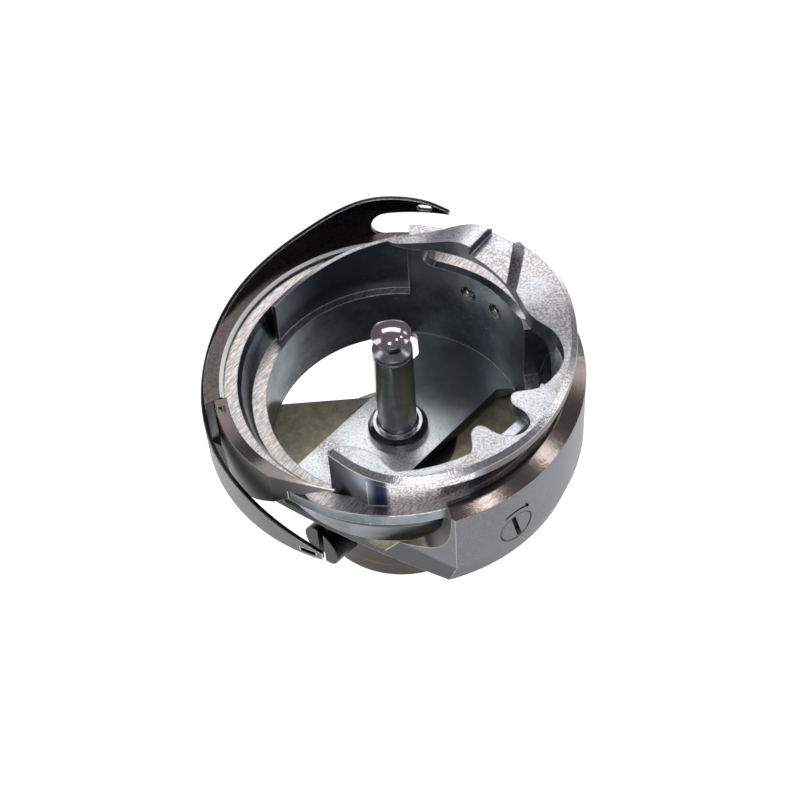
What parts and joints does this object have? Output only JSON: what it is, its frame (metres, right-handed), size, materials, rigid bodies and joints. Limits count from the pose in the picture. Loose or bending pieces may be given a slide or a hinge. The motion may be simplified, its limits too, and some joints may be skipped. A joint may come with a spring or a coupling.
{
  "type": "rotary hook with bobbin-case holder",
  "caption": "Lockstitch sewing-machine rotary hook: slotted shell with hook point, thread guard and hub around a free-turning holder with the stud that carries the bobbin case.",
  "frame": {"origin": "centre of the shaft bore at the hub's rear face", "axes": "+Z along the hook shaft towards the centre stud, +X towards the side with the position notch's block, and the hook point is at about -110 degrees from +X"},
  "size_m": [0.0384, 0.0383, 0.0294],
  "materials": {
    "hook_steel": "satin ground and polished",
    "hub_steel": "dark turned",
    "gib_steel": "ground",
    "guard_steel": "satin sheet",
    "holder_steel": "bright, frosted floor",
    "stud_steel": "polished",
    "screw_steel": "satin",
    "set_screw_oxide": "black oxide",
    "felt": "felt"
  },
  "bodies": {
    "hook": {"hook_body": "hook_steel", "hub": "hub_steel", "race_gib": "gib_steel", "thread_guard": "guard_steel", "oil_wick": "felt", "gib_screw_rear": "screw_steel", "gib_screw_middle": "screw_steel", "gib_screw_left": "screw_steel", "guard_screw_rear": "screw_steel", "guard_screw_left": "screw_steel"},
    "holder": {"bobbin_case_holder": "holder_steel", "centre_stud": "stud_steel", "stud_collar": "stud_steel", "wall_pin_left": "stud_steel", "wall_pin_right": "stud_steel"},
    "oil_screw": {"oil_screw": "screw_steel"},
    "hub_set_screw_left": {"hub_set_screw_left": "set_screw_oxide"},
    "hub_set_screw_right": {"hub_set_screw_right": "set_screw_oxide"}
  },
  "joints": [
    {"name": "holder_turn", "type": "hinge", "parent": "hook", "child": "holder", "pos_m": [0, 0, 0.0228], "axis": [0, 0, 1], "continuous": true},
    {"name": "oil_screw_turn", "type": "hinge", "parent": "hook", "child": "oil_screw", "pos_m": [0.01006, -0.01492, 0.0172], "axis": [0.5592, -0.829, 0], "range_deg": [-180, 180]},
    {"name": "set_screw_left_slide", "type": "slide", "parent": "hook", "child": "hub_set_screw_left", "axis": [-0.7431, -0.6691, 0], "range_m": [-0.0006, 0.003]},
    {"name": "set_screw_right_slide", "type": "slide", "parent": "hook", "child": "hub_set_screw_right", "axis": [0.6691, -0.7431, 0], "range_m": [-0.0006, 0.003]}
  ]
}
